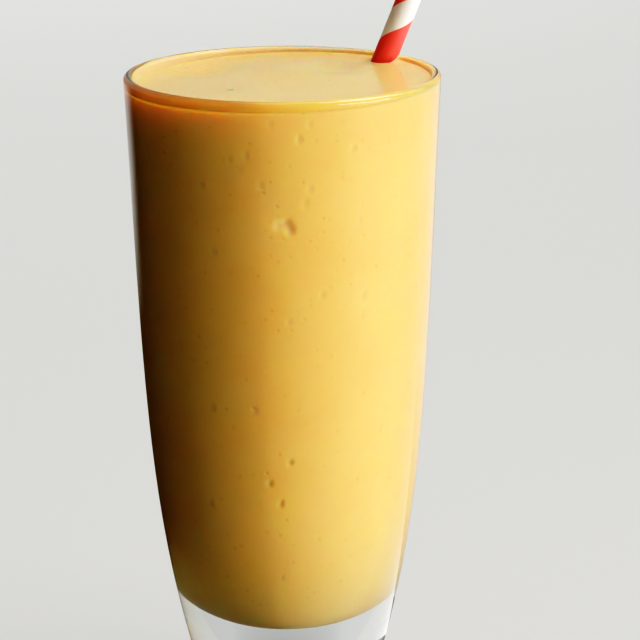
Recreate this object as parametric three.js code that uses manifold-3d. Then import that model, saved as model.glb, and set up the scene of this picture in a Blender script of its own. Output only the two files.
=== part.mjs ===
// A mango smoothie in the tall tapered tumbler that it was poured into, with a striped paper
// straw leaning in it. Sizes are in millimetres. The origin is the centre of the tumbler's
// flat underside, +Z is up, and +X is the side that the straw leans to.

import * as THREE from "three";
import { mergeVertices } from "three/addons/utils/BufferGeometryUtils.js";
import Module from "manifold-3d";

// Tumbler
const GLASS_HEIGHT = 160;
const FOOT_RADIUS = 23.5;
const FOOT_EDGE = 1.6; // rounding between the underside and the side
const FOOT_FLARE = 0.3; // how fast the side widens just above the foot, mm per mm
const FOOT_REACH = 45; // how far up the foot's flare steers the curve of the side
const MOUTH_RADIUS = 40.8;
const MOUTH_FLARE = 0.052;
const MOUTH_REACH = 76;
const SIDE_THICKNESS = 2.4; // the lip is a half circle of this width
const FLOOR_HEIGHT = 16.2; // thickness of the clear foot on the axis
const BOWL_HEIGHT = 52; // where the inside leaves the side to round into the floor
const BOWL_SIDE_REACH = 25;
const BOWL_FLOOR_REACH = 18;
const SIDES = 64; // flats around the tumbler and its contents

// Smoothie
const GAP = 0.3; // clearance between neighbouring pieces
const LEVEL_BELOW_LIP = 2.5;
const LEVEL_SLOPE = 1.1; // the thick surface stands this much higher at its high side
const HIGH_SIDE = THREE.MathUtils.degToRad(40);
const TOP_RINGS = 8;
const MOUNDS = [
  { x: 2, y: 15, radius: 13, height: 0.8 }, // where the pour ended
  { x: 14, y: 15, radius: 6, height: -0.9 }, // furrow beside the straw
  { x: -20, y: 21, radius: 7, height: -0.8 },
  { x: -16, y: -16, radius: 12, height: 0.35 },
];

// Straw
const STRAW_RADIUS = 3.15;
const STRAW_PAPER = 0.4;
const STRAW_LENGTH = 197;
const STRAW_SUNK = 124; // length of its axis below the surface
const STRAW_SIDES = 24;
const STRAW_AT = new THREE.Vector2(26.5, 22.2); // where its axis comes out of the surface
const STRAW_LEAN = new THREE.Vector2(0.405, 0.04); // sideways run per mm of height

const LEVEL = GLASS_HEIGHT - LEVEL_BELOW_LIP;
const LIP_RADIUS = SIDE_THICKNESS / 2;
const LIP_FOOT = GLASS_HEIGHT - LIP_RADIUS; // where the side meets the rounded lip

const wasm = await Module();
wasm.setup();

const sideCurve = new THREE.CubicBezierCurve(
  new THREE.Vector2(FOOT_RADIUS, 0),
  new THREE.Vector2(FOOT_RADIUS + FOOT_FLARE * FOOT_REACH, FOOT_REACH),
  new THREE.Vector2(MOUTH_RADIUS - MOUTH_FLARE * MOUTH_REACH, LIP_FOOT - MOUTH_REACH),
  new THREE.Vector2(MOUTH_RADIUS, LIP_FOOT),
);

// The curve's parameter at height z, found by halving: z only grows along the side.
function sideParameter(z) {
  let low = 0;
  let high = 1;
  for (let step = 0; step < 40; step += 1) {
    const middle = (low + high) / 2;
    if (sideCurve.getPoint(middle).y < z) low = middle;
    else high = middle;
  }
  return (low + high) / 2;
}

// Points of the side between two heights, with their radius made smaller by inset.
function sidePoints(lowZ, highZ, count, inset) {
  const start = sideParameter(lowZ);
  const end = sideParameter(highZ);
  const points = [];
  for (let i = 0; i <= count; i += 1) {
    const t = THREE.MathUtils.lerp(start, end, i / count);
    points.push(sideCurve.getPoint(t).sub(new THREE.Vector2(inset, 0)));
  }
  return points;
}

// A quarter or half circle about a centre, as points of a profile.
function arcPoints(centre, radius, startAngle, endAngle, count) {
  const points = [];
  for (let i = 0; i <= count; i += 1) {
    const angle = THREE.MathUtils.lerp(startAngle, endAngle, i / count);
    points.push(new THREE.Vector2(Math.cos(angle), Math.sin(angle)).multiplyScalar(radius).add(centre));
  }
  return points;
}

// The inside of the tumbler from the middle of its floor up to the smoothie's level.
function insidePoints() {
  const wall = sidePoints(BOWL_HEIGHT, LEVEL, 9, SIDE_THICKNESS);
  const slope = sideCurve.getTangent(sideParameter(BOWL_HEIGHT));
  const bowl = new THREE.CubicBezierCurve(
    new THREE.Vector2(0, FLOOR_HEIGHT),
    new THREE.Vector2(BOWL_FLOOR_REACH, FLOOR_HEIGHT),
    wall[0].clone().sub(slope.multiplyScalar(BOWL_SIDE_REACH)),
    wall[0],
  );
  return [...bowl.getSpacedPoints(13).slice(0, -1), ...wall];
}

// The same profile moved inwards by a distance at right angles to itself. It starts on the axis.
function movedInwards(points, distance) {
  return points.map((point, i) => {
    const before = i > 0 ? points[i - 1] : new THREE.Vector2(-points[1].x, points[1].y);
    const after = points[Math.min(i + 1, points.length - 1)];
    const along = after.clone().sub(before).normalize();
    return new THREE.Vector2(-along.y, along.x).multiplyScalar(distance).add(point);
  });
}

// Turns a profile about the Z axis into a closed surface.
function turned(points, sides = SIDES) {
  const geometry = new THREE.LatheGeometry(points, sides);
  geometry.rotateX(Math.PI / 2);
  return geometry;
}

function toSolid(geometry) {
  const bare = geometry.clone();
  bare.deleteAttribute("normal");
  bare.deleteAttribute("uv");
  const merged = mergeVertices(bare, 1e-4);
  return new wasm.Manifold(
    new wasm.Mesh({
      numProp: 3,
      vertProperties: merged.getAttribute("position").array,
      triVerts: new Uint32Array(merged.index.array),
    }),
  );
}

function toGeometry(solid) {
  const mesh = solid.getMesh();
  const geometry = new THREE.BufferGeometry();
  geometry.setAttribute("position", new THREE.BufferAttribute(mesh.vertProperties, 3));
  geometry.setIndex(new THREE.BufferAttribute(mesh.triVerts, 1));
  geometry.computeVertexNormals();
  return geometry;
}

function glassGeometry() {
  const footCorner = arcPoints(
    new THREE.Vector2(FOOT_RADIUS + FOOT_FLARE * FOOT_EDGE - FOOT_EDGE, FOOT_EDGE),
    FOOT_EDGE,
    -Math.PI / 2,
    0,
    4,
  );
  const outer = sidePoints(FOOT_EDGE, LIP_FOOT, 15, 0).slice(1);
  const inside = [...insidePoints(), sideCurve.getPoint(1).sub(new THREE.Vector2(SIDE_THICKNESS, 0))];
  const lipCentre = outer.at(-1).clone().add(inside.at(-1)).multiplyScalar(0.5);
  const lip = arcPoints(lipCentre, LIP_RADIUS, 0, Math.PI, 8).slice(1, -1);
  return turned([new THREE.Vector2(0, 0), ...footCorner, ...outer, ...lip, ...inside.reverse()]);
}

// Height of the smoothie's uneven surface above the underside.
function surfaceHeight(x, y) {
  const towardsHigh = (x * Math.cos(HIGH_SIDE) + y * Math.sin(HIGH_SIDE)) / MOUTH_RADIUS;
  let z = LEVEL + LEVEL_SLOPE * towardsHigh;
  for (const mound of MOUNDS) {
    const away = Math.hypot(x - mound.x, y - mound.y) / mound.radius;
    z += mound.height * Math.exp(-away * away);
  }
  return z;
}

function smoothieGeometry() {
  const side = movedInwards(insidePoints(), GAP);
  const edge = side.at(-1);
  const top = [];
  for (let ring = TOP_RINGS - 1; ring >= 0; ring -= 1) {
    top.push(new THREE.Vector2((edge.x * ring) / TOP_RINGS, edge.y));
  }
  const geometry = turned([...side, ...top]);
  const position = geometry.getAttribute("position");
  for (let i = 0; i < position.count; i += 1) {
    if (position.getZ(i) > edge.y - 0.01) {
      position.setZ(i, surfaceHeight(position.getX(i), position.getY(i)));
    }
  }
  return geometry;
}

// A square-ended tube about Z, from z = 0 up, closed on itself.
function tubeGeometry(innerRadius, outerRadius, length) {
  const corners = [
    [innerRadius, 0],
    [outerRadius, 0],
    [outerRadius, length],
    [innerRadius, length],
    [innerRadius, 0],
  ];
  return turned(corners.map(([x, y]) => new THREE.Vector2(x, y)), STRAW_SIDES);
}

// The straw's own frame: its lower end is the origin and its axis is Z.
const strawAxis = new THREE.Vector3(STRAW_LEAN.x, STRAW_LEAN.y, 1).normalize();
const strawExit = new THREE.Vector3(STRAW_AT.x, STRAW_AT.y, surfaceHeight(STRAW_AT.x, STRAW_AT.y));
const strawFoot = strawExit.clone().addScaledVector(strawAxis, -STRAW_SUNK);
const strawTurn = new THREE.Quaternion().setFromUnitVectors(new THREE.Vector3(0, 0, 1), strawAxis);

// The smoothie stands round the straw and inside it, joined under the straw's open end.
function cutRoundStraw(geometry) {
  const boreRadius = STRAW_RADIUS - STRAW_PAPER;
  const room = tubeGeometry(boreRadius - GAP, STRAW_RADIUS + GAP, STRAW_LENGTH + 2 * GAP);
  room.translate(0, 0, -GAP);
  room.applyQuaternion(strawTurn);
  room.translate(strawFoot.x, strawFoot.y, strawFoot.z);
  return toGeometry(toSolid(geometry).subtract(toSolid(room)));
}

function named(name, geometry, look) {
  const mesh = new THREE.Mesh(geometry, new THREE.MeshStandardMaterial(look));
  mesh.name = name;
  return mesh;
}

const drink = new THREE.Group();
drink.add(
  named("glass", glassGeometry(), {
    color: "#dfe6e2",
    roughness: 0.03,
    metalness: 0,
    transparent: true,
    opacity: 0.35,
  }),
);
drink.add(
  named("smoothie", cutRoundStraw(smoothieGeometry()), {
    color: "#f2bd5e",
    roughness: 0.3,
    metalness: 0,
  }),
);

const straw = named("straw", tubeGeometry(STRAW_RADIUS - STRAW_PAPER, STRAW_RADIUS, STRAW_LENGTH), {
  color: "#e2382f",
  roughness: 0.55,
  metalness: 0,
});
straw.position.copy(strawFoot);
straw.quaternion.copy(strawTurn);
drink.add(straw);

export default drink;
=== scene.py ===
import bisect
import math
import random

import bpy
from mathutils import Matrix, Vector


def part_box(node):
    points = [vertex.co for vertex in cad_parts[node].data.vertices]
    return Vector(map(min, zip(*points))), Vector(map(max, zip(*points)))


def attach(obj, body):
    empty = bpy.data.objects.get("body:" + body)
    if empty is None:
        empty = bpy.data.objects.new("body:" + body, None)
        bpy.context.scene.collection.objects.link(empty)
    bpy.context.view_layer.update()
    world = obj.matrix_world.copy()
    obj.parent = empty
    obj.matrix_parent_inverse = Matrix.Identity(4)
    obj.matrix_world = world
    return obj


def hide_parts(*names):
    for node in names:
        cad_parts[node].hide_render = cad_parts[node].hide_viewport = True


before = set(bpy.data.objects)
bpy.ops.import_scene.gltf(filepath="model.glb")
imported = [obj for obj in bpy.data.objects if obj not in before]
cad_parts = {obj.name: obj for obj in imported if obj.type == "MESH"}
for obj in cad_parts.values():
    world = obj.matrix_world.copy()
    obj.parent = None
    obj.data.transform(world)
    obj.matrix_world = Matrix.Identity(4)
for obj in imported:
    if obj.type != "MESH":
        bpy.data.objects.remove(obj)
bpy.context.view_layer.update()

# The studio: a plain pale floor and room that send little light back, soft lamps to the right
# and above, glowing cards on the floor outside the picture, and a long lens that looks down.

CAMERA_PLACE = Vector((0.0, -1.0, 0.3446))
CAMERA_PITCH = math.radians(14.04)
CAMERA_YAW = math.radians(0.528)
CAMERA_ROLL = math.radians(-0.462)
SENSOR_WIDTH = 36.0
PHOTO_WIDTH = 640.0
FOCAL_PIXELS = 3956.0

looking = Vector((
    math.sin(CAMERA_YAW) * math.cos(CAMERA_PITCH),
    math.cos(CAMERA_YAW) * math.cos(CAMERA_PITCH),
    -math.sin(CAMERA_PITCH),
))
level_right = Vector((math.cos(CAMERA_YAW), -math.sin(CAMERA_YAW), 0.0))
level_up = level_right.cross(looking)
right = level_right * math.cos(CAMERA_ROLL) + level_up * math.sin(CAMERA_ROLL)
up = level_up * math.cos(CAMERA_ROLL) - level_right * math.sin(CAMERA_ROLL)
camera = bpy.data.objects.new("camera", bpy.data.cameras.new("camera"))
camera.data.sensor_width = SENSOR_WIDTH
camera.data.lens = SENSOR_WIDTH * FOCAL_PIXELS / PHOTO_WIDTH
camera.data.clip_end = 50.0
camera_turn = Matrix((right, up, -looking)).transposed().to_4x4()
camera.matrix_world = Matrix.Translation(CAMERA_PLACE) @ camera_turn
bpy.context.collection.objects.link(camera)
bpy.context.scene.camera = camera

# The contrast of the print: how bright each brightness of the scene is shown.
BRIGHTEST = (1.8, 1.1)
SHOWN_AS = (
    (0.03, 0.004), (0.06, 0.0187), (0.12, 0.078), (0.25, 0.232),
    (0.5, 0.524), (0.8, 0.767), (1.2, 0.957),
)
view = bpy.context.scene.view_settings
view.view_transform = "Standard"
view.look = "None"
view.exposure = 0.0
view.use_curve_mapping = True
contrast = view.curve_mapping
contrast.clip_max_x = BRIGHTEST[0]
contrast.clip_max_y = 1.2
tones = contrast.curves[3].points
tones[1].location = BRIGHTEST
for light, shade in SHOWN_AS:
    tones.new(light, shade)
contrast.update()


def new_material(name):
    material = bpy.data.materials.new(name)
    material.use_nodes = True
    material.node_tree.nodes.clear()
    return material, material.node_tree.nodes, material.node_tree.links


def surface(nodes, links, shader):
    """Makes a shader node the surface of its material."""
    output = nodes.new("ShaderNodeOutputMaterial")
    links.new(shader.outputs[0], output.inputs["Surface"])


def math_node(nodes, links, operation, *values):
    """A Math node; each value is a number or the socket that feeds it."""
    node = nodes.new("ShaderNodeMath")
    node.operation = operation
    for socket, value in zip(node.inputs, values):
        if isinstance(value, (int, float)):
            socket.default_value = value
        else:
            links.new(value, socket)
    return node.outputs[0]


def ramp(nodes, links, value, low, high, to_low=0.0, to_high=1.0):
    """The value stretched so that low gives to_low and high gives to_high, and held there."""
    node = nodes.new("ShaderNodeMapRange")
    node.inputs["From Min"].default_value = low
    node.inputs["From Max"].default_value = high
    node.inputs["To Min"].default_value = to_low
    node.inputs["To Max"].default_value = to_high
    links.new(value, node.inputs["Value"])
    return node.outputs["Result"]


def mix_shaders(nodes, links, factor, first, second):
    node = nodes.new("ShaderNodeMixShader")
    links.new(factor, node.inputs["Fac"])
    links.new(first.outputs[0], node.inputs[1])
    links.new(second.outputs[0], node.inputs[2])
    return node


FLOOR_HALF = 6.0
floor_mesh = bpy.data.meshes.new("floor")
floor_mesh.from_pydata(
    [(-FLOOR_HALF, -FLOOR_HALF, 0), (FLOOR_HALF, -FLOOR_HALF, 0),
     (FLOOR_HALF, FLOOR_HALF, 0), (-FLOOR_HALF, FLOOR_HALF, 0)],
    [], [(0, 1, 2, 3)],
)
floor = bpy.data.objects.new("floor", floor_mesh)
bpy.context.collection.objects.link(floor)
floor_paint, nodes, links = new_material("floor_paint")
paint = nodes.new("ShaderNodeBsdfPrincipled")
paint.inputs["Roughness"].default_value = 0.8
paint.inputs["Specular IOR Level"].default_value = 0.1
paint.inputs["Emission Color"].default_value = (1.0, 1.0, 0.96, 1)
floor_mesh.materials.append(floor_paint)


def flagged(nodes, links, lit, mirrored, unlit):
    """Black flags round the set: a surface that looks lit is mirrored otherwise, and sends
    next to no light back onto the object, so the side away from the lamps stays dark."""
    path = nodes.new("ShaderNodeLightPath")
    seen = mix_shaders(nodes, links, path.outputs["Is Reflection Ray"], lit, mirrored)
    return mix_shaders(nodes, links, path.outputs["Diffuse Depth"], seen, unlit)


# Distances from the foot, in metres, between which the floor changes, and what it has at each.
SHADOW_REACH = (0.02, 0.30)
SHADOW = (0.28, 0.62)
PAINT_REACH = (0.2, 0.7)
PAINT = (0.11, 0.02)
GLOW = (0.60, 0.66)

where = nodes.new("ShaderNodeTexCoord")
from_foot = nodes.new("ShaderNodeVectorMath")
from_foot.operation = "LENGTH"
links.new(where.outputs["Object"], from_foot.inputs[0])
distance = from_foot.outputs["Value"]
links.new(ramp(nodes, links, distance, *PAINT_REACH, *PAINT), paint.inputs["Base Color"])
links.new(ramp(nodes, links, distance, *PAINT_REACH, *GLOW), paint.inputs["Emission Strength"])
# Seen through the glass the floor has a painted shadow: its glow is dimmer near the foot, in place
# of a contact shadow.
painted_shadow_through_glass = nodes.new("ShaderNodeEmission")
links.new(ramp(nodes, links, distance, *SHADOW_REACH, *SHADOW), painted_shadow_through_glass.inputs["Strength"])
path = nodes.new("ShaderNodeLightPath")
floor_lit = mix_shaders(nodes, links, path.outputs["Is Transmission Ray"], paint, painted_shadow_through_glass)
dim_paint = nodes.new("ShaderNodeBsdfDiffuse")
dim_paint.inputs["Color"].default_value = (0.035, 0.022, 0.015, 1)
surface(nodes, links, flagged(nodes, links, floor_lit, dim_paint, dim_paint))

world = bpy.data.worlds.new("studio")
bpy.context.scene.world = world
world.use_nodes = True
nodes, links = world.node_tree.nodes, world.node_tree.links
pale_room = nodes["Background"]
pale_room.inputs["Color"].default_value = (0.68, 0.68, 0.65, 1)
mirrored_room = nodes.new("ShaderNodeBackground")
mirrored_room.inputs["Color"].default_value = (0.46, 0.46, 0.44, 1)
dim_room = nodes.new("ShaderNodeBackground")
dim_room.inputs["Color"].default_value = (0.012, 0.010, 0.008, 1)
room = flagged(nodes, links, pale_room, mirrored_room, dim_room)
links.new(room.outputs[0], nodes["World Output"].inputs["Surface"])

DAYLIGHT = (1.0, 0.98, 0.95)
LAMPS_AIM = Vector((0, 0, 0.09))


def soft_lamp(name, azimuth, elevation, distance, size, power):
    """A soft lamp aimed at the glass. Azimuth 0 is the viewer's side and 90 the right."""
    around = math.radians(azimuth)
    above = math.radians(elevation)
    away = Vector((
        math.sin(around) * math.cos(above),
        -math.cos(around) * math.cos(above),
        math.sin(above),
    ))
    lamp = bpy.data.lights.new(name, "AREA")
    lamp.shape = "RECTANGLE"
    lamp.size, lamp.size_y = size
    lamp.energy = power
    lamp.color = DAYLIGHT
    holder = bpy.data.objects.new(name, lamp)
    holder.location = LAMPS_AIM + away * distance
    holder.rotation_euler = away.to_track_quat("Z", "Y").to_euler()
    holder.visible_camera = False
    holder.visible_transmission = False
    bpy.context.collection.objects.link(holder)
    return holder


soft_lamp("window_low", 60, 1, 1.2, (0.95, 0.16), 10.7)
soft_lamp("window_back", 115, 25, 1.2, (0.5, 0.5), 1.5)
soft_lamp("window_high", 85, 55, 0.55, (0.35, 0.35), 2.7)
soft_lamp("ceiling", 100, 85, 1.2, (0.9, 0.9), 4.4)
back_fill = soft_lamp("back_fill", 186, 7, 1.3, (0.7, 0.3), 12.0)
back_fill.visible_glossy = False


def steps(low, high, count):
    """Evenly spaced values from low to high, with both ends."""
    return [low + (high - low) * i / count for i in range(count + 1)]


CARD_HEIGHT = 0.001


def floor_card(name, first, last, reaches, strength, fade):
    """A glowing card on the floor, unseen by the camera, which lights the glass from below and
    is mirrored along its edges. It reaches from one azimuth to another and fades in over the
    first degrees; each reach is a distance from the glass and the glow that it has there."""
    rows = len(reaches)
    points = []
    glows = []
    for turn in steps(first, last, 16):
        along = math.radians(turn)
        faded = min(1.0, abs(turn - first) / fade)
        for reach, glow in reaches:
            points.append((reach * math.sin(along), -reach * math.cos(along), CARD_HEIGHT))
            glows.append(glow * faded)
    faces = [
        (i, i + 1, i + rows + 1, i + rows)
        for i in range(len(points) - rows) if i % rows < rows - 1
    ]
    if last < first:
        faces = [face[::-1] for face in faces]
    mesh = bpy.data.meshes.new(name)
    mesh.from_pydata(points, [], faces)
    mesh.attributes.new("glow", "FLOAT", "POINT").data.foreach_set("value", glows)
    card = bpy.data.objects.new(name, mesh)
    card.visible_camera = False
    card.visible_transmission = False
    card.visible_shadow = False
    bpy.context.collection.objects.link(card)
    material, nodes, links = new_material(name + "_glow")
    material.cycles.emission_sampling = "FRONT"
    shining = nodes.new("ShaderNodeEmission")
    glow_there = nodes.new("ShaderNodeAttribute")
    glow_there.attribute_name = "glow"
    power = math_node(nodes, links, "MULTIPLY", glow_there.outputs["Fac"], strength)
    links.new(power, shining.inputs["Strength"])
    clear = nodes.new("ShaderNodeBsdfTransparent")
    from_above = nodes.new("ShaderNodeAddShader")
    links.new(shining.outputs[0], from_above.inputs[0])
    links.new(clear.outputs[0], from_above.inputs[1])
    side = nodes.new("ShaderNodeNewGeometry")
    surface(nodes, links, mix_shaders(nodes, links, side.outputs["Backfacing"], from_above, clear))
    mesh.materials.append(material)
    return card


floor_card("right_card", -5, 130, ((0.035, 1.9), (0.12, 1), (1.4, 1)), 1.1, 60)
foot_card = floor_card("foot_card", -55, 130, ((0.03, 3.0), (0.12, 1), (0.4, 0)), 3.3, 110)
foot_card.visible_glossy = False
foot_card.location.z = CARD_HEIGHT / 2
floor_card("right_back_card", 175, 130, ((0.06, 0.4), (0.3, 1), (3.0, 1)), 1.0, 20)
floor_card("left_back_card", -138, -178, ((0.36, 0), (0.6, 1), (3.0, 1)), 0.6, 14)

# The glass: a heavy-footed clear tumbler, pressed and fire-polished. The side is one long
# curve, the lip a half circle as thick as the side, and the inside rounds into a bowl.

glass_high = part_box("glass")[1]
GLASS_HEIGHT = glass_high.z
MOUTH_RADIUS = glass_high.x
FOOT_RADIUS = 0.0235
FOOT_EDGE = 0.0016
FOOT_FLARE = 0.3
FOOT_REACH = 0.045
MOUTH_FLARE = 0.052
MOUTH_REACH = 0.076
SIDE_THICKNESS = 0.0024
FLOOR_HEIGHT = 0.0162
BOWL_HEIGHT = 0.052
BOWL_SIDE_REACH = 0.025
BOWL_FLOOR_REACH = 0.018
LIP_FOOT = GLASS_HEIGHT - SIDE_THICKNESS / 2
AROUND = 256


def on_curve(corners, t):
    """The point at t on the cubic curve that four (radius, height) corners steer."""
    a, b, c, d = (Vector(corner) for corner in corners)
    s = 1 - t
    return a * s ** 3 + b * 3 * s * s * t + c * 3 * s * t * t + d * t ** 3


SIDE_CURVE = (
    (FOOT_RADIUS, 0),
    (FOOT_RADIUS + FOOT_FLARE * FOOT_REACH, FOOT_REACH),
    (MOUTH_RADIUS - MOUTH_FLARE * MOUTH_REACH, LIP_FOOT - MOUTH_REACH),
    (MOUTH_RADIUS, LIP_FOOT),
)
SLOPE_STEP = 0.0005
side_radii, side_heights = zip(*(on_curve(SIDE_CURVE, t) for t in steps(0, 1, 3000)))


def side_radius(z):
    """Outer radius of the glass at height z, from close points along the curve."""
    i = min(max(bisect.bisect(side_heights, z), 1), len(side_heights) - 1)
    share = (z - side_heights[i - 1]) / (side_heights[i] - side_heights[i - 1])
    return side_radii[i - 1] + (side_radii[i] - side_radii[i - 1]) * share


def side_slope(z):
    return (side_radius(z + SLOPE_STEP) - side_radius(z - SLOPE_STEP)) / (2 * SLOPE_STEP)


def inside_radius(z):
    return side_radius(z) - SIDE_THICKNESS


BOWL_TOP = Vector((inside_radius(BOWL_HEIGHT), BOWL_HEIGHT))
bowl_lean = Vector((side_slope(BOWL_HEIGHT), 1)).normalized()
BOWL_CURVE = (
    (0, FLOOR_HEIGHT),
    (BOWL_FLOOR_REACH, FLOOR_HEIGHT),
    BOWL_TOP - bowl_lean * BOWL_SIDE_REACH,
    BOWL_TOP,
)


def turned(name, rings, looped=False):
    """A closed skin through rings of points. A ring of one point is the middle of an end; a
    looped skin joins its last ring to its first."""
    points = []
    starts = []
    for ring in rings:
        starts.append((len(points), len(ring)))
        points.extend(ring)
    faces = []
    pairs = list(zip(starts, starts[1:]))
    if looped:
        pairs.append((starts[-1], starts[0]))
    for (low, low_count), (high, high_count) in pairs:
        around = max(low_count, high_count)
        for i in range(around):
            j = (i + 1) % around
            if low_count == 1:
                faces.append((low, high + j, high + i))
            elif high_count == 1:
                faces.append((low + i, low + j, high))
            else:
                faces.append((low + i, low + j, high + j, high + i))
    mesh = bpy.data.meshes.new(name)
    mesh.from_pydata([tuple(point) for point in points], [], faces)
    mesh.shade_smooth()
    mesh.update()
    piece = bpy.data.objects.new(name, mesh)
    bpy.context.collection.objects.link(piece)
    return piece


def circle(radius, z, count=AROUND):
    if radius < 1e-6:
        return [Vector((0, 0, z))]
    return [
        Vector((radius * math.cos(a), radius * math.sin(a), z))
        for a in (math.tau * i / count for i in range(count))
    ]


glass_profile = [(0, 0)]
glass_profile += [(radius, 0) for radius in steps(0.004, FOOT_RADIUS - FOOT_EDGE - 0.0008, 6)]
edge_centre = Vector((FOOT_RADIUS + FOOT_FLARE * FOOT_EDGE - FOOT_EDGE, FOOT_EDGE))
glass_profile += [
    tuple(edge_centre + Vector((math.sin(a), -math.cos(a))) * FOOT_EDGE)
    for a in steps(0, math.pi / 2, 10)
]
glass_profile += [(side_radius(z), z) for z in steps(FOOT_EDGE, LIP_FOOT, 110)[1:]]
lip_centre = Vector((MOUTH_RADIUS - SIDE_THICKNESS / 2, LIP_FOOT))
glass_profile += [
    tuple(lip_centre + Vector((math.cos(a), math.sin(a))) * SIDE_THICKNESS / 2)
    for a in steps(0, math.pi, 20)[1:-1]
]
glass_profile += [(inside_radius(z), z) for z in steps(LIP_FOOT, BOWL_HEIGHT, 70)]
glass_profile += [tuple(on_curve(BOWL_CURVE, t)) for t in steps(1, 0, 40)[1:]]
glass = turned("glass", [circle(radius, z) for radius, z in glass_profile])


def noise(nodes, links, place, scale, detail):
    node = nodes.new("ShaderNodeTexNoise")
    node.inputs["Scale"].default_value = scale
    node.inputs["Detail"].default_value = detail
    links.new(place, node.inputs["Vector"])
    return node.outputs["Fac"]


# Clean glass with faint smudges. Lamps shine through it as through thin air.
clear_glass, nodes, links = new_material("clear_glass")
clear = nodes.new("ShaderNodeBsdfPrincipled")
clear.inputs["Base Color"].default_value = (0.93, 0.955, 0.935, 1)
clear.inputs["IOR"].default_value = 1.5
clear.inputs["Transmission Weight"].default_value = 1.0
where = nodes.new("ShaderNodeTexCoord")
smudge = noise(nodes, links, where.outputs["Object"], 60.0, 3.0)
links.new(ramp(nodes, links, smudge, 0.45, 0.75, 0.0, 0.05), clear.inputs["Roughness"])
through = nodes.new("ShaderNodeBsdfTransparent")
through.inputs["Color"].default_value = (0.96, 0.97, 0.96, 1)
path = nodes.new("ShaderNodeLightPath")
surface(nodes, links, mix_shaders(nodes, links, path.outputs["Is Shadow Ray"], clear, through))
glass.data.materials.append(clear_glass)
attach(glass, "root")
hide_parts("glass")

# The straw: a paper tube wound from strips, white with one broad red stripe that climbs to
# the right. It leans on the lip at the back right, and its lower end is deep in the smoothie.

STRAW_RADIUS = 0.00315
STRAW_PAPER = 0.0004
STRAW_LENGTH = 0.197
STRAW_AXIS = Vector((0.405, 0.04, 1)).normalized()
STRAW_EDGE = 0.00012
STRAW_AROUND = 48
STRAW_RINGS = 80
STRIPE_LEAD = 0.019
RED_SHARE = 0.55
STRIPE_BLUR = 0.012
SEAM_PLACE = 0.22
SEAM_WIDTH = 0.016
straw_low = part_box("straw")[0]
STRAW_FOOT = Vector(
    straw_low[i] + STRAW_RADIUS * math.sqrt(1 - STRAW_AXIS[i] ** 2) for i in range(3)
)


def straw_ring(radius, z):
    return circle(radius, z, STRAW_AROUND)


bore = STRAW_RADIUS - STRAW_PAPER
straw_ends = (STRAW_EDGE, STRAW_LENGTH - STRAW_EDGE)
straw_rings = [straw_ring(STRAW_RADIUS, z) for z in steps(*straw_ends, STRAW_RINGS)]
straw_rings.append(straw_ring(STRAW_RADIUS - STRAW_EDGE, STRAW_LENGTH))
straw_rings.append(straw_ring(bore + STRAW_EDGE, STRAW_LENGTH))
straw_rings += [straw_ring(bore, z) for z in steps(*reversed(straw_ends), STRAW_RINGS)]
straw_rings.append(straw_ring(bore + STRAW_EDGE, 0))
straw_rings.append(straw_ring(STRAW_RADIUS - STRAW_EDGE, 0))
straw = turned("straw", straw_rings, looped=True)
straw_turn = STRAW_AXIS.to_track_quat("Z", "Y").to_matrix().to_4x4()
straw.matrix_world = Matrix.Translation(STRAW_FOOT) @ straw_turn

striped_paper, nodes, links = new_material("striped_paper")
paper = nodes.new("ShaderNodeBsdfPrincipled")
paper.inputs["Roughness"].default_value = 0.5
paper.inputs["Specular IOR Level"].default_value = 0.35
paper.inputs["Subsurface Weight"].default_value = 0.15
paper.inputs["Subsurface Radius"].default_value = (1.0, 0.6, 0.5)
paper.inputs["Subsurface Scale"].default_value = 0.0008


def blend(nodes, links, factor, first, second):
    """A colour mix; each colour is a socket or four numbers."""
    node = nodes.new("ShaderNodeMix")
    node.data_type = "RGBA"
    links.new(factor, node.inputs["Factor"])
    for socket, colour in ((node.inputs["A"], first), (node.inputs["B"], second)):
        if isinstance(colour, tuple):
            socket.default_value = colour
        else:
            links.new(colour, socket)
    return node.outputs["Result"]


# The stripe is wound round the tube: its share of a turn grows with height.
where = nodes.new("ShaderNodeTexCoord")
apart = nodes.new("ShaderNodeSeparateXYZ")
links.new(where.outputs["Object"], apart.inputs[0])
angle = math_node(nodes, links, "ARCTAN2", apart.outputs["Y"], apart.outputs["X"])
turns = math_node(nodes, links, "DIVIDE", angle, math.tau)
climb = math_node(nodes, links, "DIVIDE", apart.outputs["Z"], STRIPE_LEAD)
wound = math_node(nodes, links, "SUBTRACT", climb, turns)
share = math_node(nodes, links, "FRACT", wound)
stripe = nodes.new("ShaderNodeValToRGB")
red = (0.90, 0.09, 0.075, 1)
white = (0.86, 0.82, 0.76, 1)
stripe.color_ramp.elements[0].position = 0.0
stripe.color_ramp.elements[0].color = white
stripe.color_ramp.elements[1].position = STRIPE_BLUR
stripe.color_ramp.elements[1].color = red
for position, colour in ((RED_SHARE, red), (RED_SHARE + STRIPE_BLUR, white)):
    stop = stripe.color_ramp.elements.new(position)
    stop.color = colour
links.new(share, stripe.inputs["Fac"])

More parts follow.
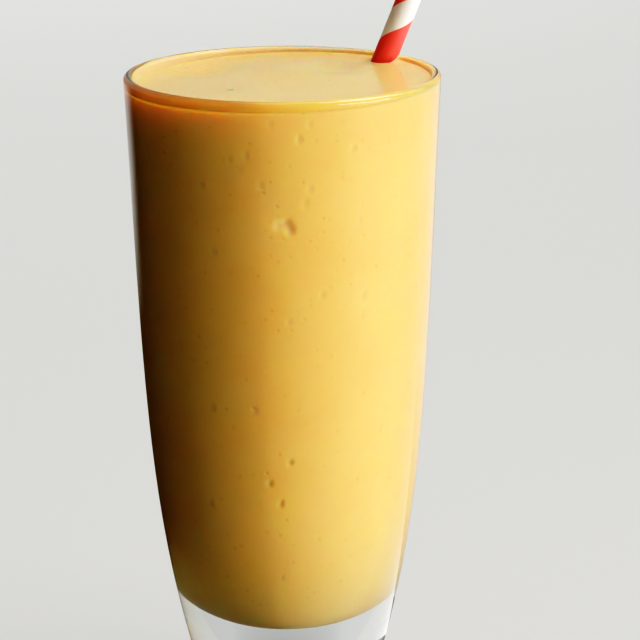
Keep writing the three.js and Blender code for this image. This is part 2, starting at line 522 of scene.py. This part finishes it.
# Inside the bore the paper is bare, and fine fibres mottle it everywhere.
plan = nodes.new("ShaderNodeCombineXYZ")
links.new(apart.outputs["X"], plan.inputs["X"])
links.new(apart.outputs["Y"], plan.inputs["Y"])
length = nodes.new("ShaderNodeVectorMath")
length.operation = "LENGTH"
links.new(plan.outputs[0], length.inputs[0])
from_axis = length.outputs["Value"]
is_inside = math_node(nodes, links, "LESS_THAN", from_axis, STRAW_RADIUS - 0.00008)
bare = blend(nodes, links, is_inside, stripe.outputs["Color"], (0.80, 0.74, 0.66, 1))
fibre = noise(nodes, links, where.outputs["Object"], 2600.0, 3.0)
mottle = nodes.new("ShaderNodeMix")
mottle.data_type = "RGBA"
mottle.blend_type = "MULTIPLY"
mottle.inputs["B"].default_value = (0.90, 0.86, 0.84, 1)
links.new(math_node(nodes, links, "MULTIPLY", fibre, 0.5), mottle.inputs["Factor"])
links.new(bare, mottle.inputs["A"])
links.new(mottle.outputs["Result"], paper.inputs["Base Color"])

# The strips of paper leave a narrow groove where they meet.
from_seam = math_node(nodes, links, "FRACT", math_node(nodes, links, "ADD", wound, SEAM_PLACE))
seam = math_node(nodes, links, "LESS_THAN", from_seam, SEAM_WIDTH)
fuzz = math_node(nodes, links, "MULTIPLY", fibre, 0.3)
relief = math_node(nodes, links, "SUBTRACT", fuzz, seam)
pressed = nodes.new("ShaderNodeBump")
pressed.inputs["Strength"].default_value = 0.6
pressed.inputs["Distance"].default_value = 0.00008
links.new(relief, pressed.inputs["Height"])
links.new(pressed.outputs["Normal"], paper.inputs["Normal"])
surface(nodes, links, paper)
straw.data.materials.append(striped_paper)
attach(straw, "root")
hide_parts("straw")

# The smoothie: thick blended mango, opaque and wet. It fills the bowl against the glass with
# hardly any air between, and its top is the uneven surface that the pour left under the lip.

LEVEL = GLASS_HEIGHT - 0.0025
LEVEL_SLOPE = 0.0011
HIGH_SIDE = math.radians(40)
MOUNDS = (
    (0.002, 0.015, 0.013, 0.0008),
    (0.014, 0.015, 0.006, -0.0009),
    (-0.020, 0.021, 0.007, -0.0008),
    (-0.016, -0.016, 0.012, 0.00035),
)
INTO_WALL = 0.00015
CLING = 0.0004
CLING_REACH = 0.0011
SMOOTHIE_AROUND = 400
BOWL_RINGS = 34
WALL_RINGS = 130
TOP_EDGE = 0.9
TOP_EDGE_RINGS = 14
TOP_RINGS = 52

# Air pockets against the glass: degrees round from the viewer, then height, half width and
# depth in millimetres. The first three make up the large hollow. The back has some as well.
POCKETS = (
    (-1.4, 128.4, 2.0, 0.65), (0.9, 128.6, 1.9, 1.0), (2.4, 127.2, 1.6, 0.9),
    (6.0, 150.4, 0.9, 0.7), (10.0, 153.9, 0.8, 0.6), (-4.6, 154.3, 0.8, 0.5),
    (26.9, 147.2, 1.0, 0.7), (10.0, 137.3, 1.0, 0.5), (8.1, 133.8, 1.2, 0.4),
    (30.4, 128.4, 0.8, 0.5), (14.9, 109.7, 0.9, 0.8), (33.0, 108.5, 1.0, 0.7),
    (1.7, 103.0, 0.8, 0.6), (-28.0, 120.7, 0.9, 0.8), (-31.7, 79.4, 0.9, 0.8),
    (-12.8, 79.6, 0.9, 0.6), (44.5, 72.2, 0.9, 0.8), (1.7, 65.8, 0.9, 0.9),
    (-7.1, 60.1, 0.9, 0.7), (-2.5, 54.6, 0.9, 0.7), (-35.6, 53.3, 0.9, 0.8),
    (25.4, 51.3, 0.9, 0.7), (17.0, 39.4, 0.8, 0.8), (-2.1, 34.2, 0.9, 0.8),
    (-32.1, 137.8, 0.9, 0.7), (-13.8, 146.1, 0.9, 0.6), (-16.2, 142.2, 0.8, 0.5),
    (-8.7, 138.5, 0.8, 0.6), (-20.0, 144.8, 0.8, 0.5),
)
BACK_POCKETS = 30
BACK_RANGES = ((95, 250), (30, 153), (0.8, 1.3), (0.5, 1.0))
seeded = random.Random(11)
far_pockets = [
    tuple(seeded.uniform(low, high) for low, high in BACK_RANGES)
    for _ in range(BACK_POCKETS)
]
pockets = [
    (math.radians(turn - 90), height / 1000, half / 1000, deep / 1000)
    for turn, height, half, deep in list(POCKETS) + far_pockets
]


def surface_height(x, y):
    """Height of the drink's uneven top, which clings to the glass and to the straw."""
    towards_high = (x * math.cos(HIGH_SIDE) + y * math.sin(HIGH_SIDE)) / MOUTH_RADIUS
    z = LEVEL + LEVEL_SLOPE * towards_high
    for mound_x, mound_y, radius, height in MOUNDS:
        away = math.hypot(x - mound_x, y - mound_y) / radius
        z += height * math.exp(-away * away)
    to_wall = inside_radius(LEVEL) - math.hypot(x, y)
    beside_straw = Vector((x, y, z)) - STRAW_FOOT
    to_straw = beside_straw.cross(STRAW_AXIS).length - STRAW_RADIUS
    for gap in (max(to_wall, 0.0), max(to_straw, 0.0)):
        z += CLING * math.exp(-gap / CLING_REACH)
    return z


def pocket_depth(angle, z, radius):
    """How deep the side is hollowed by an air pocket at this angle and height."""
    depth = 0.0
    for pocket_angle, height, half, deep in pockets:
        up = (z - height) / half
        if abs(up) < 1:
            around = math.remainder(angle - pocket_angle, math.tau) * radius / half
            away = up * up + around * around
            if away < 1:
                depth = max(depth, deep * (1 - away) ** 1.5)
    return depth


def wall_point(angle, share):
    """A point of the smoothie's side, with share 0 where the bowl ends and 1 at its top edge."""
    radius = inside_radius(LEVEL) + INTO_WALL
    top = surface_height(radius * math.cos(angle), radius * math.sin(angle))
    z = BOWL_HEIGHT + (top - BOWL_HEIGHT) * share
    radius = inside_radius(z) + INTO_WALL
    radius -= pocket_depth(angle, z, radius)
    return Vector((radius * math.cos(angle), radius * math.sin(angle), z))


angles = [math.tau * i / SMOOTHIE_AROUND for i in range(SMOOTHIE_AROUND)]
smoothie_rings = []
for t in steps(0, 1, BOWL_RINGS)[:-1]:
    here = on_curve(BOWL_CURVE, t)
    ahead = on_curve(BOWL_CURVE, t + 0.01) - here
    outwards = Vector((ahead[1], -ahead[0])).normalized() * INTO_WALL
    if t == 0:
        smoothie_rings.append(circle(0, here[1] + outwards[1]))
        continue
    ring = []
    for a in angles:
        inset = pocket_depth(a, here[1], here[0]) / INTO_WALL
        radius = here[0] + outwards[0] * (1 - inset)
        z = here[1] + outwards[1] * (1 - inset)
        ring.append(Vector((radius * math.cos(a), radius * math.sin(a), z)))
    smoothie_rings.append(ring)
for share in steps(0, 1, WALL_RINGS):
    smoothie_rings.append([wall_point(a, share) for a in angles])
side_rings = len(smoothie_rings)
for share in steps(1, TOP_EDGE, TOP_EDGE_RINGS)[1:] + steps(TOP_EDGE, 0, TOP_RINGS)[1:-1]:
    ring = []
    for edge_point in smoothie_rings[side_rings - 1]:
        x, y = edge_point.x * share, edge_point.y * share
        ring.append(Vector((x, y, surface_height(x, y))))
    smoothie_rings.append(ring)
smoothie_rings.append([Vector((0, 0, surface_height(0, 0)))])
smoothie = turned("smoothie", smoothie_rings)

# What the blended fruit does to colour and surface wherever it shows: slow clouds of paler
# and deeper pulp, dark specks of fibre, and a fine grain that the gloss picks up.

flesh = bpy.data.node_groups.new("mango_flesh", "ShaderNodeTree")
for name, kind in (
    ("Place", "NodeSocketVector"), ("Colour", "NodeSocketColor"), ("Deep", "NodeSocketColor"),
):
    flesh.interface.new_socket(name, in_out="INPUT", socket_type=kind)
for name, kind in (("Colour", "NodeSocketColor"), ("Height", "NodeSocketFloat")):
    flesh.interface.new_socket(name, in_out="OUTPUT", socket_type=kind)
nodes, links = flesh.nodes, flesh.links
taken = nodes.new("NodeGroupInput")
given = nodes.new("NodeGroupOutput")

place = taken.outputs["Place"]
clouds = ramp(nodes, links, noise(nodes, links, place, 55.0, 4.0), 0.35, 0.7, 0.0, 0.25)
clouded = blend(nodes, links, clouds, taken.outputs["Colour"], taken.outputs["Deep"])
cells = nodes.new("ShaderNodeTexVoronoi")
cells.inputs["Scale"].default_value = 620.0
links.new(place, cells.inputs["Vector"])
chosen = nodes.new("ShaderNodeSeparateColor")
links.new(cells.outputs["Color"], chosen.inputs[0])
is_speck = ramp(nodes, links, chosen.outputs[0], 0.86, 0.94)
in_speck = ramp(nodes, links, cells.outputs["Distance"], 0.12, 0.42, 1.0, 0.0)
speck = math_node(nodes, links, "MULTIPLY", is_speck, in_speck)
tint = math_node(nodes, links, "MULTIPLY", speck, 0.5)
links.new(blend(nodes, links, tint, clouded, taken.outputs["Deep"]), given.inputs["Colour"])
grain = noise(nodes, links, place, 1500.0, 3.0)
fine = math_node(nodes, links, "MULTIPLY", grain, 0.25)
links.new(math_node(nodes, links, "SUBTRACT", fine, speck), given.inputs["Height"])


def mango_finish(name, colour, deep, roughness, gloss, bump, reach=0.005, green=0.42):
    """One finish of the smoothie: deep is its colour where the pulp lies thick, reach is how
    far red light wanders inside it, and green the share of that for green light."""
    material, nodes, links = new_material(name)
    pulp = nodes.new("ShaderNodeBsdfPrincipled")
    pulp.inputs["Roughness"].default_value = roughness
    pulp.inputs["Specular IOR Level"].default_value = gloss
    pulp.inputs["Subsurface Weight"].default_value = 1.0
    pulp.inputs["Subsurface Radius"].default_value = (1.0, green, 0.12)
    pulp.inputs["Subsurface Scale"].default_value = reach
    where = nodes.new("ShaderNodeTexCoord")
    fruit = nodes.new("ShaderNodeGroup")
    fruit.node_tree = flesh
    links.new(where.outputs["Object"], fruit.inputs["Place"])
    fruit.inputs["Colour"].default_value = colour
    fruit.inputs["Deep"].default_value = deep
    links.new(fruit.outputs["Colour"], pulp.inputs["Base Color"])
    raised = nodes.new("ShaderNodeBump")
    raised.inputs["Strength"].default_value = bump
    raised.inputs["Distance"].default_value = 0.0002
    links.new(fruit.outputs["Height"], raised.inputs["Height"])
    links.new(raised.outputs["Normal"], pulp.inputs["Normal"])
    surface(nodes, links, pulp)
    return material


mango_side = mango_finish(
    "mango_against_glass", (0.94, 0.618, 0.205, 1), (0.86, 0.49, 0.115, 1),
    roughness=0.35, gloss=0.06, bump=0.5,
)
# The top's colour is paler than the side's: a painted sheen, over the real gloss of the wet top.
top_with_painted_sheen = mango_finish(
    "mango_wet_top_painted_sheen", (0.97, 0.635, 0.247, 1), (0.90, 0.535, 0.157, 1),
    roughness=0.16, gloss=0.5, bump=0.25,
)
smoothie.data.materials.append(mango_side)
smoothie.data.materials.append(top_with_painted_sheen)
first_top_face = SMOOTHIE_AROUND * (side_rings - 1)
for face in smoothie.data.polygons[first_top_face:]:
    face.material_index = 1
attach(smoothie, "root")
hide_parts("smoothie")

# The film: what the pour and a swirl left on the inside of the glass above the level. It is a
# quarter of a millimetre thick, thicker where it joins the smoothie, and its top edge wanders.

FILM_THICKNESS = 0.00022
FILM_FOOT = -0.0011
FILM_INTO_WALL = 0.00008
FILM_AROUND = 360
FILM_OUTER_RINGS = 16
FILM_INNER_RINGS = 24
BELOW_LIP = 0.0006


def film_edge(angle):
    """How far the film reaches past the foot of the rounded lip, along the glass."""
    back = 0.5 + 0.5 * math.sin(angle)
    waves = 0.22 * math.sin(3 * angle + 0.8) + 0.14 * math.sin(7 * angle + 2.1)
    waves += 0.09 * math.sin(13 * angle)
    return 0.001 * (0.25 + 1.15 * back + waves)


def lip_place(along):
    """The inside of the glass at a distance past the lip's foot, and the way out from it."""
    if along <= 0:
        z = LIP_FOOT + along
        return Vector((inside_radius(z), z)), Vector((-1, side_slope(z - BELOW_LIP))).normalized()
    bend = along / (SIDE_THICKNESS / 2)
    out = Vector((-math.cos(bend), math.sin(bend)))
    return lip_centre + out * SIDE_THICKNESS / 2, out


def film_ring(share, inner):
    """One ring of the film, with share 0 at its foot and 1 at its top edge."""
    ring = []
    for i in range(FILM_AROUND):
        angle = math.tau * i / FILM_AROUND
        wall = inside_radius(LEVEL)
        foot = surface_height(wall * math.cos(angle), wall * math.sin(angle)) + FILM_FOOT - LIP_FOOT
        along = foot + (film_edge(angle) - foot) * share
        point, out = lip_place(along)
        thick = FILM_THICKNESS * math.sqrt(max(0.0, 1 - share)) * (1.2 - 0.5 * share)
        point = point + out * (thick if inner else -FILM_INTO_WALL * (1 - 0.5 * share))
        ring.append(Vector((point[0] * math.cos(angle), point[0] * math.sin(angle), point[1])))
    return ring


film = turned(
    "film",
    [film_ring(share, False) for share in steps(0, 1, FILM_OUTER_RINGS)]
    + [film_ring(share, True) for share in steps(1, 0, FILM_INNER_RINGS)[1:]],
    looped=True,
)
# The film's colour comes in two copies with painted light. The side against the glass is a painted
# shade of deeper gold, and the inner side a painted paler cream.
film_painted_deeper = mango_finish(
    "mango_film", (0.90, 0.60, 0.13, 1), (0.84, 0.50, 0.09, 1),
    roughness=0.3, gloss=0.2, bump=0.2, reach=0.0003, green=0.7,
)
inner_film_painted_paler = mango_finish(
    "mango_film_inside_painted_paler", (0.96, 0.65, 0.34, 1), (0.92, 0.58, 0.24, 1),
    roughness=0.25, gloss=0.4, bump=0.2, reach=0.0003, green=0.8,
)
film.data.materials.append(film_painted_deeper)
film.data.materials.append(inner_film_painted_paler)
for face in film.data.polygons[FILM_OUTER_RINGS * FILM_AROUND:]:
    face.material_index = 1
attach(film, "root")

# The bubbles: small thin domes of froth that rose to the top and gathered against the glass.
# Each is a closed cap set a little into the surface.

SMALL_BUBBLES = 46
SMALL_RADII = (0.0002, 0.00045)
SHARE_AT_WALL = 0.55
FROM_AXIS_AT_WALL = (0.0345, 0.0375)
FROM_AXIS_ELSEWHERE = 0.034
BUBBLE_SIDES = 16
BUBBLE_RINGS = 5
BUBBLE_SET_IN = 0.00005
DOME_HEIGHT = 0.35
DOME_ROOT = 0.3
large_bubble = (-0.0132, -0.0085, 0.0009)
seeded = random.Random(5)
bubble_places = [large_bubble]
for _ in range(SMALL_BUBBLES):
    if seeded.random() < SHARE_AT_WALL:
        reach = seeded.uniform(*FROM_AXIS_AT_WALL)
    else:
        reach = FROM_AXIS_ELSEWHERE * math.sqrt(seeded.random())
    turn = seeded.uniform(0, math.tau)
    radius = seeded.uniform(*SMALL_RADII)
    bubble_places.append((reach * math.cos(turn), reach * math.sin(turn), radius))

bubble_points = []
bubble_faces = []
for x, y, radius in bubble_places:
    foot = surface_height(x, y) - BUBBLE_SET_IN
    first = len(bubble_points)
    for ring in range(BUBBLE_RINGS):
        rise = math.pi / 2 * ring / BUBBLE_RINGS
        reach = radius * math.cos(rise)
        z = foot + DOME_HEIGHT * radius * math.sin(rise)
        for i in range(BUBBLE_SIDES):
            turn = math.tau * i / BUBBLE_SIDES
            bubble_points.append((x + reach * math.cos(turn), y + reach * math.sin(turn), z))
    top = len(bubble_points)
    bubble_points.append((x, y, foot + DOME_HEIGHT * radius))
    bubble_points.append((x, y, foot - DOME_ROOT * radius))
    last_ring = top - BUBBLE_SIDES
    for i in range(BUBBLE_SIDES):
        j = (i + 1) % BUBBLE_SIDES
        for low in range(first, last_ring, BUBBLE_SIDES):
            high = low + BUBBLE_SIDES
            bubble_faces.append((low + i, low + j, high + j, high + i))
        bubble_faces.append((last_ring + i, last_ring + j, top))
        bubble_faces.append((first + j, first + i, top + 1))
bubble_mesh = bpy.data.meshes.new("bubbles")
bubble_mesh.from_pydata(bubble_points, [], bubble_faces)
bubble_mesh.shade_smooth()
bubbles = bpy.data.objects.new("bubbles", bubble_mesh)
bpy.context.collection.objects.link(bubbles)
# The bubbles share the top's colour and its painted sheen.
bubbles.data.materials.append(top_with_painted_sheen)
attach(bubbles, "root")
